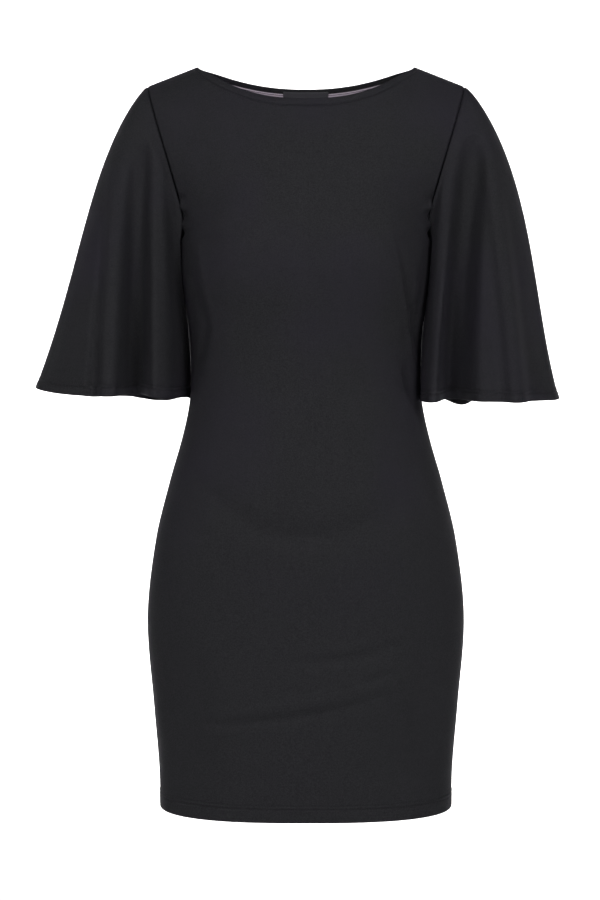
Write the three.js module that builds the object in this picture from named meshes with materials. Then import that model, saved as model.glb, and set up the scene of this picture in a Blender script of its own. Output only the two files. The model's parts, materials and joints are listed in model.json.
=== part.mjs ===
// A short fitted jersey dress with a wide boat neck and flared elbow-length sleeves.
// It is filled out as if worn, hollow, with its neck, sleeves and hem open.
// Millimetres, +Z up, the front faces -Y, the wearer's left is +X.
// The origin lies midway between the two points where the shoulder seams meet the neck.

import * as THREE from 'three';

// Cloth
const WALL = 1.8;
const SEAM_GAP = 0.3;
const JERSEY = { color: 0x232326, roughness: 0.85, metalness: 0 };
const TAPE = { color: 0xb9aebc, roughness: 0.8, metalness: 0 };
const LABEL = { color: 0x2b2a2e, roughness: 0.7, metalness: 0 };

// Heights, all measured down from the neck end of the shoulder seams
const HEM_Z = -883;
const UNDERARM_Z = -213;

// Neck and shoulders
const NECK_HALF = 133;
const SHOULDER_HALF = 187;
const SHOULDER_DROP = 21;
const SHOULDER_SLOPE = SHOULDER_DROP / (SHOULDER_HALF - NECK_HALF);
const NECK_DROP = { front: 45, back: 27 };
const NECK_CURVE = { front: 2.45, back: 2.15 };

// Fitted body below the underarm: half width, depth in front of and behind the side seams,
// and how square the section is (2 is an ellipse).
const BODY_SECTIONS = [
  { z: HEM_Z, half: 176.5, front: 103, back: 106, power: 2.6 },
  { z: -835, half: 178, front: 104, back: 109, power: 2.5 },
  { z: -760, half: 184, front: 104, back: 114, power: 2.4 },
  { z: -655, half: 191, front: 99, back: 118, power: 2.3 },
  { z: -560, half: 180.5, front: 101, back: 108, power: 2.25 },
  { z: -490, half: 163.5, front: 96, back: 95, power: 2.2 },
  { z: -440, half: 149, front: 90, back: 85, power: 2.2 },
  { z: -400, half: 140, front: 87, back: 79, power: 2.2 },
  { z: -365, half: 137, front: 86, back: 76, power: 2.2 },
  { z: -310, half: 139, front: 92, back: 79, power: 2.2 },
  { z: -265, half: 145.5, front: 101, back: 86, power: 2.2 },
  { z: -235, half: 149.3, front: 105.5, back: 90.8, power: 2.2 },
  { z: UNDERARM_Z, half: 150, front: 106, back: 92, power: 2.2 },
];

// Armhole seams by height: half width between them, and how far they lie in front of and behind
// the side seams before the cloth rounds over the shoulder
const ARMHOLE_ROWS = [
  { z: UNDERARM_Z, half: 150, front: 0, back: 0 },
  { z: -207, half: 147.5, front: 17, back: 15 },
  { z: -192, half: 145, front: 30, back: 27 },
  { z: -170, half: 145, front: 42, back: 38 },
  { z: -125, half: 156.5, front: 57, back: 51 },
  { z: -61, half: 175.5, front: 61, back: 55 },
  { z: -SHOULDER_DROP, half: SHOULDER_HALF, front: 61, back: 55 },
];

// Upper body: depth at the centre before the cloth rounds over the shoulder, and how full that
// rounding is at the centre and at the armhole
const CHEST = { depth: { front: 104, back: 103 }, roundCentre: 1.7, roundArmhole: 2.3 };
const BUST = { out: 78, z: -214, reach: 52, fullness: 11, fades: { from: 0.3, to: 0.9 } };

// Parts of the way up from the underarm by which the chest has its full depth and the section
// has turned from the body's oval to the flatter one between the armholes, and how flat that
// one is and how closely the rows near the armhole keep to its heights
const YOKE = { deepBy: 0.5, flatBy: 0.4, flatness: 2.4, edgePull: 3 };

// Narrow pieces at the neck
const BINDING = { gap: 0.7, width: 7, thick: 2.4 };
const TAPE_STRIP = { half: 114, top: -1.5, height: 10, thick: 1, lift: 0.7 };
const LABEL_PLATE = { half: 27.5, top: -4.5, height: 17, thick: 1, lift: 2.1 };

// Flared sleeves: the hem oval seen from above (out from the centre line, and front to back),
// how far its front laps over the body and its inner end is tucked behind the side seam, how far
// the cap stands out, how low the hem hangs and where its back dips.
const SLEEVES = {
  right: {
    side: -1,
    hem: { inner: 135, outer: 323, front: 84, back: 80, lap: 4, tuck: 20 },
    low: { inner: -392, front: -382, outer: -377, back: -394 },
    dip: { out: 172, reach: 20, down: 7 },
    cap: { out: 18, at: 0.25, forward: 15 },
    folds: {
      front: [
        { hem: 141, top: 160, topZ: -120, width: 11, depth: -22 },
        { hem: 168, top: 172, topZ: -60, width: 18, depth: 24 },
        { hem: 200, top: 193, topZ: -90, width: 15, depth: -34 },
        { hem: 229, top: 222, topZ: -98, width: 14, depth: 12 },
        { hem: 246, top: 232, topZ: -150, width: 7, depth: -8 },
        { hem: 292, top: 268, topZ: -150, width: 26, depth: -8 },
      ],
      back: [
        { hem: 166, top: 172, topZ: -90, width: 15, depth: 17 },
        { hem: 196, top: 190, topZ: -110, width: 14, depth: -25 },
        { hem: 230, top: 214, topZ: -90, width: 15, depth: 10 },
        { hem: 265, top: 236, topZ: -140, width: 14, depth: -17 },
      ],
    },
  },
  left: {
    side: 1,
    hem: { inner: 135, outer: 303, front: 84, back: 80, lap: 16, tuck: 20 },
    low: { inner: -394, front: -389, outer: -390, back: -398 },
    dip: { out: 190, reach: 14, down: 5 },
    cap: { out: 26, at: 0.3, forward: 15 },
    folds: {
      front: [
        { hem: 130, top: 158, topZ: -70, width: 8, depth: -24 },
        { hem: 148, top: 168, topZ: -100, width: 13, depth: 16 },
        { hem: 175, top: 197, topZ: -80, width: 18, depth: -48 },
        { hem: 246, top: 206, topZ: -70, width: 13, depth: 14 },
        { hem: 273, top: 242, topZ: -130, width: 18, depth: -12 },
      ],
      back: [
        { hem: 162, top: 170, topZ: -90, width: 14, depth: 15 },
        { hem: 188, top: 188, topZ: -100, width: 14, depth: -24 },
        { hem: 220, top: 208, topZ: -90, width: 16, depth: 10 },
        { hem: 255, top: 234, topZ: -140, width: 14, depth: -15 },
      ],
    },
  },
};

// How the sleeve's columns crowd towards the shoulder along the seam and spread along the hem,
// and how soon the tuck at the inner end runs out
const SEAM_CROWD = 2.2;
const HEM_SPREAD = 1.6;
const TUCK_FADE = 3;

// The cap stands out along this part of the seam. It is fullest a little way down, nearer the
// seam at the underarm side, and swells forward and back a little lower.
const CAP_ALONG = { from: 0.35, to: 0.95 };
const CAP_LEVEL = { underside: 0.16, swell: 0.3, rise: 0.75 };

// Each fold leans, narrows and fades on its way up, and has a flat top and steep sides. Folds
// start a little below the seam, and run out towards the sleeve's inner and outer edges.
const FOLD_FORM = { lean: 1.4, narrow: 0.75, fade: 0.7, flatness: 3.2, startsBy: 0.09, edge: 0.45 };

// Gap between sleeve and body, where it is rounded in, and the extra ease at the underarm
const BODY_CLEAR = { gap: 0.9, blend: 3, above: 60, startsBy: 0.04 };
const UNDERARM_EASE = { z: -200, reach: 22, by: 3.4 };

// Seam gap of the sleeve at the underarm and over the shoulder, and where along the seam the
// one turns into the other
const SLEEVE_SEAM = { underarm: 0.4, shoulder: 0.6, from: 0.3, to: 0.7 };
// Where along the seam the sleeve's inner edge comes to lie beside the panels' inner edge
const INNER_EDGE = { from: 0.3, to: 0.6 };

// Grid sizes
const NECK_COLUMNS = 10;
const SHOULDER_COLUMNS = 4;
const BODY_ROWS = 20;
const CHEST_ROWS = 14;
const SLEEVE_HALF_POINTS = 32;
const SLEEVE_ROWS = 13;
const SLEEVE_ROW_CROWD = 1.25;

const mix = (a, b, t) => a + (b - a) * t;
const clamp01 = (t) => Math.min(1, Math.max(0, t));

function smooth(from, to, at) {
  const t = clamp01((at - from) / (to - from));
  return t * t * (3 - 2 * t);
}

// Smooth curve through a table's rows, which rise in z, read in one column
function readRows(rows, column, z) {
  const last = rows.length - 1;
  if (z <= rows[0].z) return rows[0][column];
  if (z >= rows[last].z) return rows[last][column];
  let i = 0;
  while (z > rows[i + 1].z) i += 1;
  const slope = (k) => {
    const a = rows[Math.max(0, k - 1)];
    const b = rows[Math.min(last, k + 1)];
    return (b[column] - a[column]) / (b.z - a.z);
  };
  const span = rows[i + 1].z - rows[i].z;
  const t = (z - rows[i].z) / span;
  const t2 = t * t;
  const t3 = t2 * t;
  return (2 * t3 - 3 * t2 + 1) * rows[i][column] + (t3 - 2 * t2 + t) * span * slope(i)
    + (3 * t2 - 2 * t3) * rows[i + 1][column] + (t3 - t2) * span * slope(i + 1);
}

// Section through the body at one height, as fractions of half width and depth.
// across runs from -1 at one side seam, through 0 at the centre, to 1 at the other.
function sectionAt(z, across) {
  const power = readRows(BODY_SECTIONS, 'power', z);
  const turn = across * Math.PI / 2;
  const size = Math.abs(Math.sin(turn)) ** power + Math.abs(Math.cos(turn)) ** power;
  const reach = size ** (-1 / power);
  return { wide: Math.sin(turn) * reach, deep: Math.cos(turn) * reach };
}

function neckline(x, face) {
  return -NECK_DROP[face] * (1 - Math.abs(x / NECK_HALF) ** NECK_CURVE[face]);
}

// Height of the shoulder line, which runs on inwards over the open neck
function shoulderLine(x) {
  return -(Math.abs(x) - NECK_HALF) * SHOULDER_SLOPE;
}

function bustFullness(x, z) {
  const far = (Math.abs(x) - BUST.out) ** 2 + (z - BUST.z) ** 2;
  return BUST.fullness * Math.exp(-far / (2 * BUST.reach ** 2));
}

function lowerPoint(face, across, rise) {
  const z = mix(HEM_Z, UNDERARM_Z, rise);
  const { wide, deep } = sectionAt(z, across);
  const x = readRows(BODY_SECTIONS, 'half', z) * wide;
  let depth = readRows(BODY_SECTIONS, face, z) * deep;
  if (face === 'front') depth += bustFullness(x, z) * Math.max(0, deep);
  return faced(face, x, depth, z);
}

function upperPoint(face, across, rise) {
  const { wide, deep } = sectionAt(UNDERARM_Z, across);
  const side = Math.abs(wide);
  const edgeRise = (1 - Math.cos(Math.PI * rise)) / 2;
  const edgeZ = mix(UNDERARM_Z, -SHOULDER_DROP, edgeRise);
  const x = wide * readRows(ARMHOLE_ROWS, 'half', edgeZ);
  const topX = wide * SHOULDER_HALF;
  const topZ = Math.abs(topX) < NECK_HALF ? neckline(topX, face) : shoulderLine(topX);
  const z = mix(UNDERARM_Z, topZ, mix(rise, edgeRise, side ** YOKE.edgePull));

  const armhole = readRows(ARMHOLE_ROWS, face, edgeZ);
  const chest = readRows(BODY_SECTIONS, face, UNDERARM_Z);
  const centre = mix(chest, CHEST.depth[face], smooth(0, YOKE.deepBy, rise));
  const spread = mix(deep, 1 - side ** YOKE.flatness, smooth(0, YOKE.flatBy, rise));
  const round = mix(CHEST.roundCentre, CHEST.roundArmhole, side);
  const upTo = clamp01((z - UNDERARM_Z) / (shoulderLine(topX) - UNDERARM_Z));
  const over = (1 - upTo ** round) ** (1 / round);
  let depth = over * mix(armhole, centre, spread);
  if (face === 'front') {
    const fade = 1 - smooth(BUST.fades.from, BUST.fades.to, rise);
    depth += bustFullness(x, z) * Math.max(0, deep) * fade;
  }
  return faced(face, x, depth, z);
}

// The two faces stand half a seam gap to each side of the side and shoulder seams
function faced(face, x, depth, z) {
  const toward = face === 'front' ? -1 : 1;
  return new THREE.Vector3(x, toward * (depth + SEAM_GAP / 2), z);
}

// Column whose top lies at the neck end of the shoulder seam
function neckColumn() {
  const power = readRows(BODY_SECTIONS, 'power', UNDERARM_Z);
  const wide = NECK_HALF / SHOULDER_HALF;
  const deep = (1 - wide ** power) ** (1 / power);
  return Math.atan2(wide, deep) * 2 / Math.PI;
}

function panelColumns() {
  const neck = neckColumn();
  const half = [];
  for (let i = 1; i <= NECK_COLUMNS; i += 1) half.push(neck * i / NECK_COLUMNS);
  for (let i = 1; i <= SHOULDER_COLUMNS; i += 1) half.push(mix(neck, 1, i / SHOULDER_COLUMNS));
  return [...half.map((s) => -s).reverse(), 0, ...half];
}

// Points of one face, row by row from the hem to the neck and shoulders
function panelGrid(face) {
  const columns = panelColumns();
  const grid = [];
  for (let i = 0; i <= BODY_ROWS; i += 1) {
    grid.push(columns.map((across) => lowerPoint(face, across, i / BODY_ROWS)));
  }
  for (let i = 1; i <= CHEST_ROWS; i += 1) {
    grid.push(columns.map((across) => upperPoint(face, across, i / CHEST_ROWS)));
  }
  return grid;
}

// Outward direction at each point of a grid. wrap joins each row's ends, as on a tube.
function gridNormals(grid, wrap) {
  const rows = grid.length;
  const width = grid[0].length;
  return grid.map((row, j) => row.map((point, i) => {
    const left = wrap ? (i + width - 1) % width : Math.max(0, i - 1);
    const right = wrap ? (i + 1) % width : Math.min(width - 1, i + 1);
    const alongRow = new THREE.Vector3().subVectors(row[right], row[left]);
    const above = grid[Math.min(rows - 1, j + 1)][i];
    const below = grid[Math.max(0, j - 1)][i];
    return alongRow.cross(new THREE.Vector3().subVectors(above, below)).normalize();
  }));
}

// Triangles of a wall between an outer and an inner grid, closed along its edges
function wallFaces(rows, width, wrap) {
  const count = rows * width;
  const faces = [];
  const quad = (a, b, c, d) => faces.push(a, b, c, a, c, d);
  const at = (layer, j, i) => layer * count + j * width + (i % width);
  const across = wrap ? width : width - 1;
  const top = rows - 1;
  const end = width - 1;
  for (let j = 0; j < top; j += 1) {
    for (let i = 0; i < across; i += 1) {
      quad(at(0, j, i), at(0, j, i + 1), at(0, j + 1, i + 1), at(0, j + 1, i));
      quad(at(1, j, i + 1), at(1, j, i), at(1, j + 1, i), at(1, j + 1, i + 1));
    }
  }
  for (let i = 0; i < across; i += 1) {
    quad(at(0, 0, i + 1), at(0, 0, i), at(1, 0, i), at(1, 0, i + 1));
    quad(at(0, top, i), at(0, top, i + 1), at(1, top, i + 1), at(1, top, i));
  }
  for (let j = 0; j < top && !wrap; j += 1) {
    quad(at(0, j, 0), at(0, j + 1, 0), at(1, j + 1, 0), at(1, j, 0));
    quad(at(0, j + 1, end), at(0, j, end), at(1, j, end), at(1, j + 1, end));
  }
  return faces;
}

// A wall between two grids of the same size. Its faces are turned round where they point inwards.
function wallGeometry(outer, inner, wrap) {
  const points = [...outer.flat(), ...inner.flat()];
  const faces = wallFaces(outer.length, outer[0].length, wrap);
  if (signedVolume(points, faces) < 0) faces.reverse();
  const places = points.flatMap((point) => point.toArray());
  const geometry = new THREE.BufferGeometry();
  geometry.setAttribute('position', new THREE.Float32BufferAttribute(places, 3));
  geometry.setIndex(faces);
  geometry.computeVertexNormals();
  return geometry;
}

function signedVolume(points, faces) {
  let sum = 0;
  for (let i = 0; i < faces.length; i += 3) {
    const [a, b, c] = [points[faces[i]], points[faces[i + 1]], points[faces[i + 2]]];
    sum += a.dot(new THREE.Vector3().crossVectors(b, c));
  }
  return sum / 6;
}

function offset(grid, normals, distance) {
  const moved = (point, normal) => point.clone().addScaledVector(normal, distance);
  return grid.map((row, j) => row.map((point, i) => moved(point, normals[j][i])));
}

function pieceMesh(name, geometry, finish) {
  const mesh = new THREE.Mesh(geometry, new THREE.MeshStandardMaterial(finish));
  mesh.name = name;
  return mesh;
}

// Outward directions on a face. At the side and shoulder seams they lie in the seam's own plane.
function panelNormals(face, grid) {
  const columns = panelColumns();
  const neck = neckColumn();
  const normals = gridNormals(grid, false);
  const outward = face === 'front' ? 1 : -1;
  const top = grid.length - 1;
  normals.forEach((row, j) => row.forEach((normal, i) => {
    normal.multiplyScalar(outward);
    const onSide = (i === 0 || i === row.length - 1) && j <= BODY_ROWS;
    const onShoulder = j === top && Math.abs(columns[i]) >= neck;
    if (onSide) normal.set(Math.sign(columns[i]), 0, 0);
    if (onShoulder) normal.set(Math.sign(columns[i]) * SHOULDER_SLOPE, 0, 1).normalize();
  }));
  return normals;
}

function makePanel(face) {
  const grid = panelGrid(face);
  const normals = panelNormals(face, grid);
  return { grid, normals, inner: offset(grid, normals, -WALL) };
}

// Points round the whole neck seam: the front from right to left, then the back
function neckLoop(front, back) {
  const loop = [];
  const first = SHOULDER_COLUMNS;
  const last = first + 2 * NECK_COLUMNS;
  const add = (panel, i) => {
    const top = panel.grid.length - 1;
    const normal = panel.normals[top][i];
    loop.push({ point: panel.grid[top][i].clone().addScaledVector(normal, -WALL / 2), normal });
  };
  for (let i = first; i < last; i += 1) add(front, i);
  for (let i = last; i > first; i -= 1) add(back, i);
  return loop;
}

// Narrow folded strip that stands on the neck seam and runs on in the cloth's own direction
function bindingGeometry(front, back) {
  const loop = neckLoop(front, back);
  const count = loop.length;
  const frames = loop.map(({ point, normal }, i) => {
    const next = loop[(i + 1) % count].point;
    const along = new THREE.Vector3().subVectors(next, loop[(i + count - 1) % count].point);
    const inward = new THREE.Vector3().crossVectors(normal, along).normalize();
    return { point, inward, out: new THREE.Vector3().crossVectors(along, inward).normalize() };
  });
  const rows = [0, 0.5, 1].map((part) => BINDING.gap + part * BINDING.width);
  const layer = (side) => rows.map((reach) => frames.map(({ point, inward, out }) => point.clone()
    .addScaledVector(inward, reach).addScaledVector(out, side * BINDING.thick / 2)));
  return wallGeometry(layer(1), layer(-1), true);
}

// A point inside the back, at a distance out from the centre and down from the neck seam,
// lifted off the cloth by a given height
function insideBack(back, x, down, lift) {
  const top = back.inner.length - 1;
  const row = back.inner[top];
  const rowBelow = back.inner[top - 1];
  const normals = back.normals[top];
  let i = 0;
  while (row[i + 1].x < x) i += 1;
  const t = (x - row[i].x) / (row[i + 1].x - row[i].x);
  const seam = new THREE.Vector3().lerpVectors(row[i], row[i + 1], t);
  const under = new THREE.Vector3().lerpVectors(rowBelow[i], rowBelow[i + 1], t);
  const normal = new THREE.Vector3().lerpVectors(normals[i], normals[i + 1], t).normalize();
  const along = under.sub(seam).normalize();
  return seam.addScaledVector(along, down).addScaledVector(normal, -lift);
}

// Strip that lies inside the back neck, made from the back's own points and moved inwards.
// half is how far it reaches to each side, top is measured down from the seam.
function backNeckStrip(back, { half, top, height, lift, thick }) {
  const between = back.inner.at(-1).map((point) => point.x).filter((x) => Math.abs(x) < half);
  const places = [-half, ...between, half];
  const layer = (rise) => [top + height, top + height / 2, top]
    .map((down) => places.map((x) => insideBack(back, x, down, rise)));
  return wallGeometry(layer(lift), layer(lift + thick), false);
}

// Armhole seam of one side, from the underarm up the front, over the shoulder and down the back.
// turn is 0 at the underarm, 1 at the shoulder and 2 at the underarm again.
function armholePoint(panels, side, turn, layer) {
  const face = turn <= 1 ? 'front' : 'back';
  const grid = panels[face][layer];
  const column = side < 0 ? 0 : grid[0].length - 1;
  const rise = (turn <= 1 ? turn : 2 - turn) * CHEST_ROWS;
  const row = Math.min(CHEST_ROWS - 1, Math.floor(rise));
  const a = grid[BODY_ROWS + row][column];
  const b = grid[BODY_ROWS + row + 1][column];
  return new THREE.Vector3().lerpVectors(a, b, rise - row);
}

// The gap is wider where the wall's end twists over the shoulder
function seamGapAt(turn) {
  const { underarm, shoulder, from, to } = SLEEVE_SEAM;
  return mix(underarm, shoulder, smooth(from, to, turn));
}

// Half width of the body at a height and a distance in front of or behind the side seams
function bodyHalfAt(y, z) {
  const height = Math.min(z, UNDERARM_Z);
  const face = y < 0 ? 'front' : 'back';
  const part = Math.abs(y) / readRows(BODY_SECTIONS, face, height);
  if (part >= 1) return 0;
  const power = readRows(BODY_SECTIONS, 'power', height);
  return readRows(BODY_SECTIONS, 'half', height) * (1 - part ** power) ** (1 / power);
}

// How far a face of the sleeve stands forward in its folds, at a place seen from the front
function foldDepth(folds, out, z, hemZ) {
  let sum = 0;
  for (const fold of folds) {
    const up = clamp01((z - hemZ) / (fold.topZ - hemZ));
    const line = mix(fold.hem, fold.top, up ** FOLD_FORM.lean);
    const width = fold.width * mix(1, FOLD_FORM.narrow, up);
    const away = Math.abs((out - line) / width) ** FOLD_FORM.flatness;
    sum += fold.depth * (1 - up) ** FOLD_FORM.fade * Math.exp(-away);
  }
  return sum;
}

// Smooth hump along the sleeve, 1 at its peak and 0 at both ends
function capHump(down, peak) {
  const { rise } = CAP_LEVEL;
  const fall = rise * (1 - peak) / peak;
  return (down / peak) ** rise * ((1 - down) / (1 - peak)) ** fall;
}

// How far a point of the sleeve is moved out so that it stays clear of the body
function bodyPush(out, y, z, down) {
  const { gap, blend, above, startsBy } = BODY_CLEAR;
  const ease = UNDERARM_EASE.by * Math.exp(-(((z - UNDERARM_EASE.z) / UNDERARM_EASE.reach) ** 2));
  const short = bodyHalfAt(y, z) + gap + ease - out;
  const near = (1 - smooth(UNDERARM_Z, UNDERARM_Z + above, z)) * smooth(0, startsBy, down);
  if (short <= -blend) return 0;
  return near * (short >= blend ? short : (short + blend) ** 2 / (4 * blend));
}

// A point of a sleeve. around runs from 0 at the underarm to 1 at the top, and on to 2.
function sleevePoint(panels, sleeve, around, down) {
  const { side, hem, low, dip, cap, folds } = sleeve;
  const half = around <= 1 ? around : 2 - around;
  const isFront = around <= 1;
  const seamTurn = 1 - (1 - half) ** SEAM_CROWD;
  const hemTurn = Math.PI * half ** HEM_SPREAD;
  const seam = armholePoint(panels, side, isFront ? seamTurn : 2 - seamTurn, 'grid');

  const outward = (1 - Math.cos(hemTurn)) / 2;
  const toward = isFront ? -1 : 1;
  const depth = isFront ? hem.front : hem.back;
  const lap = isFront ? hem.lap * Math.max(0, Math.sin(2 * hemTurn)) : 0;
  const hemOut = mix(hem.inner, hem.outer, outward) - lap;
  const hemY = toward * depth * Math.sin(hemTurn) + hem.tuck * (1 - outward) ** TUCK_FADE;
  const middleZ = mix(low.inner, low.outer, outward);
  const faceZ = isFront ? low.front : low.back;
  const dropped = isFront ? 0 : dip.down * Math.exp(-(((hemOut - dip.out) / dip.reach) ** 2));
  const hemZ = mix(middleZ, faceZ, Math.sin(hemTurn) ** 2) - dropped;

  const seamOut = Math.abs(seam.x) + seamGapAt(seamTurn);
  const overTop = smooth(CAP_ALONG.from, CAP_ALONG.to, seamTurn);
  const peak = mix(CAP_LEVEL.underside, cap.at, outward);
  const out = mix(seamOut, hemOut, down) + cap.out * overTop * capHump(down, peak);
  const z = mix(seam.z, hemZ, down);

  const swell = cap.forward * Math.sin(hemTurn) * capHump(down, CAP_LEVEL.swell);
  const facing = Math.min(1, Math.sin(hemTurn) / FOLD_FORM.edge) * smooth(0, FOLD_FORM.startsBy, down);
  const folded = facing * foldDepth(isFront ? folds.front : folds.back, out, z, hemZ);
  const y = mix(seam.y, hemY, down) + toward * (swell + folded);
  return new THREE.Vector3(side * (out + bodyPush(out, y, z, down)), y, z);
}

function sleeveGeometry(panels, sleeve) {
  const grid = [];
  for (let j = 0; j <= SLEEVE_ROWS; j += 1) {
    const down = (j / SLEEVE_ROWS) ** SLEEVE_ROW_CROWD;
    const row = [];
    for (let i = 0; i < 2 * SLEEVE_HALF_POINTS; i += 1) {
      row.push(sleevePoint(panels, sleeve, i / SLEEVE_HALF_POINTS, down));
    }
    grid.push(row);
  }
  const normals = gridNormals(grid, true);
  const inner = offset(grid, normals, sleeve.side * WALL);
  inner[0].forEach((point, i) => {
    const around = i / SLEEVE_HALF_POINTS;
    const half = around <= 1 ? around : 2 - around;
    const turn = 1 - (1 - half) ** SEAM_CROWD;
    const beside = armholePoint(panels, sleeve.side, around <= 1 ? turn : 2 - turn, 'inner');
    beside.x += sleeve.side * seamGapAt(turn);
    point.lerp(beside, smooth(INNER_EDGE.from, INNER_EDGE.to, turn));
  });
  return wallGeometry(grid, inner, true);
}

const front = makePanel('front');
const back = makePanel('back');
const panels = { front, back };

const dress = new THREE.Group();
dress.add(
  pieceMesh('front_panel', wallGeometry(front.grid, front.inner, false), JERSEY),
  pieceMesh('back_panel', wallGeometry(back.grid, back.inner, false), JERSEY),
  pieceMesh('sleeve_right', sleeveGeometry(panels, SLEEVES.right), JERSEY),
  pieceMesh('sleeve_left', sleeveGeometry(panels, SLEEVES.left), JERSEY),
  pieceMesh('neck_binding', bindingGeometry(front, back), JERSEY),
  pieceMesh('neck_tape', backNeckStrip(back, TAPE_STRIP), TAPE),
  pieceMesh('neck_label', backNeckStrip(back, LABEL_PLATE), LABEL),
);

export default dress;
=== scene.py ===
# %% [markdown]
# # A fitted jersey dress with flared sleeves
#
# The dress is filled out as if worn, with nobody in it. A maker cuts it from seven pieces: a front,
# a back, two flared sleeves, a narrow binding round the neck, and a tape and a woven label inside
# the back neck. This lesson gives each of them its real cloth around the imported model, which stays
# where it is and only lends its names, its box and its body.

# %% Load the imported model
import json
import math

import bpy
import numpy as np
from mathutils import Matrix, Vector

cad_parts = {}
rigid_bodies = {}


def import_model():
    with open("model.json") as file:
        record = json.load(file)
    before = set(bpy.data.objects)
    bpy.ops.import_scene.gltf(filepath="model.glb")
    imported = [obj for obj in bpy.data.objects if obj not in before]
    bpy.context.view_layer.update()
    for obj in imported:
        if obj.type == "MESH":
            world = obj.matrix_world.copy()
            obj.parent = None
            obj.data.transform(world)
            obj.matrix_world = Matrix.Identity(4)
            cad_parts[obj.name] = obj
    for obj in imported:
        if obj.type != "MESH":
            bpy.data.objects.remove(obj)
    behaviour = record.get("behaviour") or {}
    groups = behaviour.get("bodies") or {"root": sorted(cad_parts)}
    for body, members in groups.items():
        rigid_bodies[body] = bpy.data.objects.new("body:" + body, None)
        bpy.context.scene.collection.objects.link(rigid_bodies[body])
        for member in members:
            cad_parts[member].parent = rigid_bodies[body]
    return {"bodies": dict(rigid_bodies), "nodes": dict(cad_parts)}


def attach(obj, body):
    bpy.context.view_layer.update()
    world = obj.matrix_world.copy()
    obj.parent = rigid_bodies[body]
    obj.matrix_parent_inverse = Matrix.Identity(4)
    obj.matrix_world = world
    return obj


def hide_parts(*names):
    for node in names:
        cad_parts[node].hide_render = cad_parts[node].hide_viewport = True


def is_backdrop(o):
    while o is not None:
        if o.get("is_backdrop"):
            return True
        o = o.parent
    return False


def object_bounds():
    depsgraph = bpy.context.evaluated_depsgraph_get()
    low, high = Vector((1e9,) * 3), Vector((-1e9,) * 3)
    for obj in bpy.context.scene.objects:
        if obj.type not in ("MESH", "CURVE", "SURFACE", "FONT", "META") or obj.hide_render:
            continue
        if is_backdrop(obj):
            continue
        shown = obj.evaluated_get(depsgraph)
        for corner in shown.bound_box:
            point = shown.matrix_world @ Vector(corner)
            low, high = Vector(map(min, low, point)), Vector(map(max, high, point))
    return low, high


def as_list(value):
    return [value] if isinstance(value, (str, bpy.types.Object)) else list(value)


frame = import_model()
cad_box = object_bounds()
BODY = next(iter(frame["bodies"]))
MM = 0.001
print("nodes:", ", ".join(sorted(frame["nodes"])))
print("box in mm:", [round(edge / MM) for corner in cad_box for edge in corner])

# %% [markdown]
# ## The camera
#
# The view is almost level: the lens looks at the waist from a little above it, about 2.8 m away.
# A long lens from far off keeps the hem and the neck nearly as flat as they look by eye. The focal
# length in pixels turns into millimetres with the sensor, which Blender lays along the longer side.

# %% Camera
PICTURE_WIDTH, PICTURE_HEIGHT = 600, 900
SENSOR_MM = 36
FOCAL_PX = 2310
CAMERA_PLACE = (-0.007, -2.76, -0.1955)
CAMERA_PITCH_DEG = 5.32


def in_scene(name, data):
    thing = bpy.data.objects.new(name, data)
    bpy.context.scene.collection.objects.link(thing)
    return thing


camera_data = bpy.data.cameras.new("camera")
camera_data.sensor_width = SENSOR_MM
camera_data.lens = FOCAL_PX * SENSOR_MM / max(PICTURE_WIDTH, PICTURE_HEIGHT)
camera = in_scene("camera", camera_data)
camera.location = CAMERA_PLACE
camera.rotation_euler = (math.radians(90 - CAMERA_PITCH_DEG), 0, 0)
bpy.context.scene.camera = camera
print("lens in mm:", round(camera_data.lens, 1))

# %% [markdown]
# ## Small tools for shapes
#
# Every form below is worked out from short tables of sizes in millimetres, as a pattern cutter
# writes them. A table is read with a smooth curve through its rows, so a body of thirteen rows
# gives a surface without steps, however fine the mesh is. All of it runs on whole grids at once.


# %% Curves and tables
def mix(a, b, t):
    return a + (b - a) * t


def smooth(start, end, at):
    t = np.clip((at - start) / (end - start), 0, 1)
    return t * t * (3 - 2 * t)


def bell(distance, reach):
    return np.exp(-((distance / reach) ** 2))


def table(names, *rows):
    """Columns by name, from rows that rise in their first column."""
    return dict(zip(names.split(), np.array(rows, float).T))


def read(rows, column, z):
    """The height on a smooth curve through one column of a table."""
    places, values = rows["z"], rows[column]
    index = np.arange(len(places))
    before, after = np.maximum(index - 1, 0), np.minimum(index + 1, len(places) - 1)
    slope = (values[after] - values[before]) / (places[after] - places[before])
    z = np.clip(z, places[0], places[-1])
    i = np.clip(np.searchsorted(places, z, side="left") - 1, 0, len(places) - 2)
    span = places[i + 1] - places[i]
    t = (z - places[i]) / span
    rising = 3 * t**2 - 2 * t**3
    ends = (1 - rising) * values[i] + rising * values[i + 1]
    return ends + span * ((t**3 - 2 * t**2 + t) * slope[i] + (t**3 - t**2) * slope[i + 1])


def unit(vectors):
    return vectors / np.linalg.norm(vectors, axis=-1, keepdims=True)


def travelled(points, axis):
    """Distance walked along a grid's rows (axis 0) or columns (axis 1) up to each point."""
    steps = np.linalg.norm(np.diff(points, axis=axis), axis=-1)
    first = np.zeros_like(np.take(steps, [0], axis=axis))
    return np.concatenate([first, np.cumsum(steps, axis=axis)], axis=axis)


def at_distance(at, distances, values):
    """Values read off every column of a grid, at distances that rise from its first row."""
    found = np.empty((len(at), *values.shape[1:]))
    for i in range(values.shape[1]):
        for k in range(values.shape[2]):
            found[:, i, k] = np.interp(at, distances[:, i], values[:, i, k])
    return found


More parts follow.
